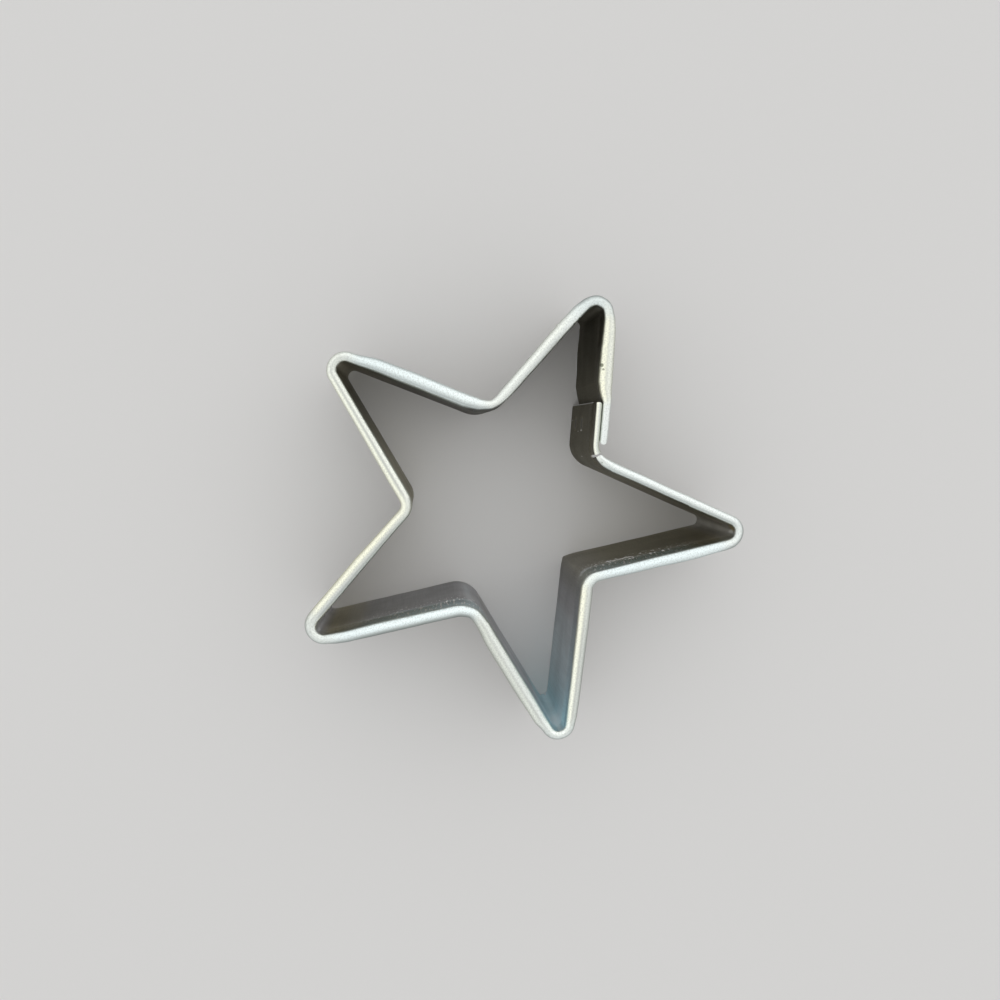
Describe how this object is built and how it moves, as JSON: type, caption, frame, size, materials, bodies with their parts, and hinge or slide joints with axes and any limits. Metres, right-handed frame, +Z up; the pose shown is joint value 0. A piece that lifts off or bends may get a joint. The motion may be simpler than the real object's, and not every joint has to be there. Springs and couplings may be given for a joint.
{
  "type": "cookie cutter",
  "caption": "Star-shaped cookie cutter: an open strip of tinned steel with a folded rim, lapped and spot-welded beside one point, for stamping dough.",
  "frame": {"origin": "under the middle of the cutter's overall box, on the plane of the cutting edge", "axes": "+Z up from the cutting edge to the folded rim, +Y towards the star's point beside the seam, +X to the seam's side"},
  "size_m": [0.077, 0.0734, 0.022],
  "materials": {
    "tinned_sheet": "dull tin with fine drawn scratches",
    "tinned_rim": "satin tin, rubbed bright",
    "weld": "pressed weld spot"
  },
  "bodies": {
    "root": {"star_wall": "tinned_sheet", "rolled_rim": "tinned_rim", "tab_rim": "tinned_rim", "spot_welds": "weld"}
  },
  "joints": []
}
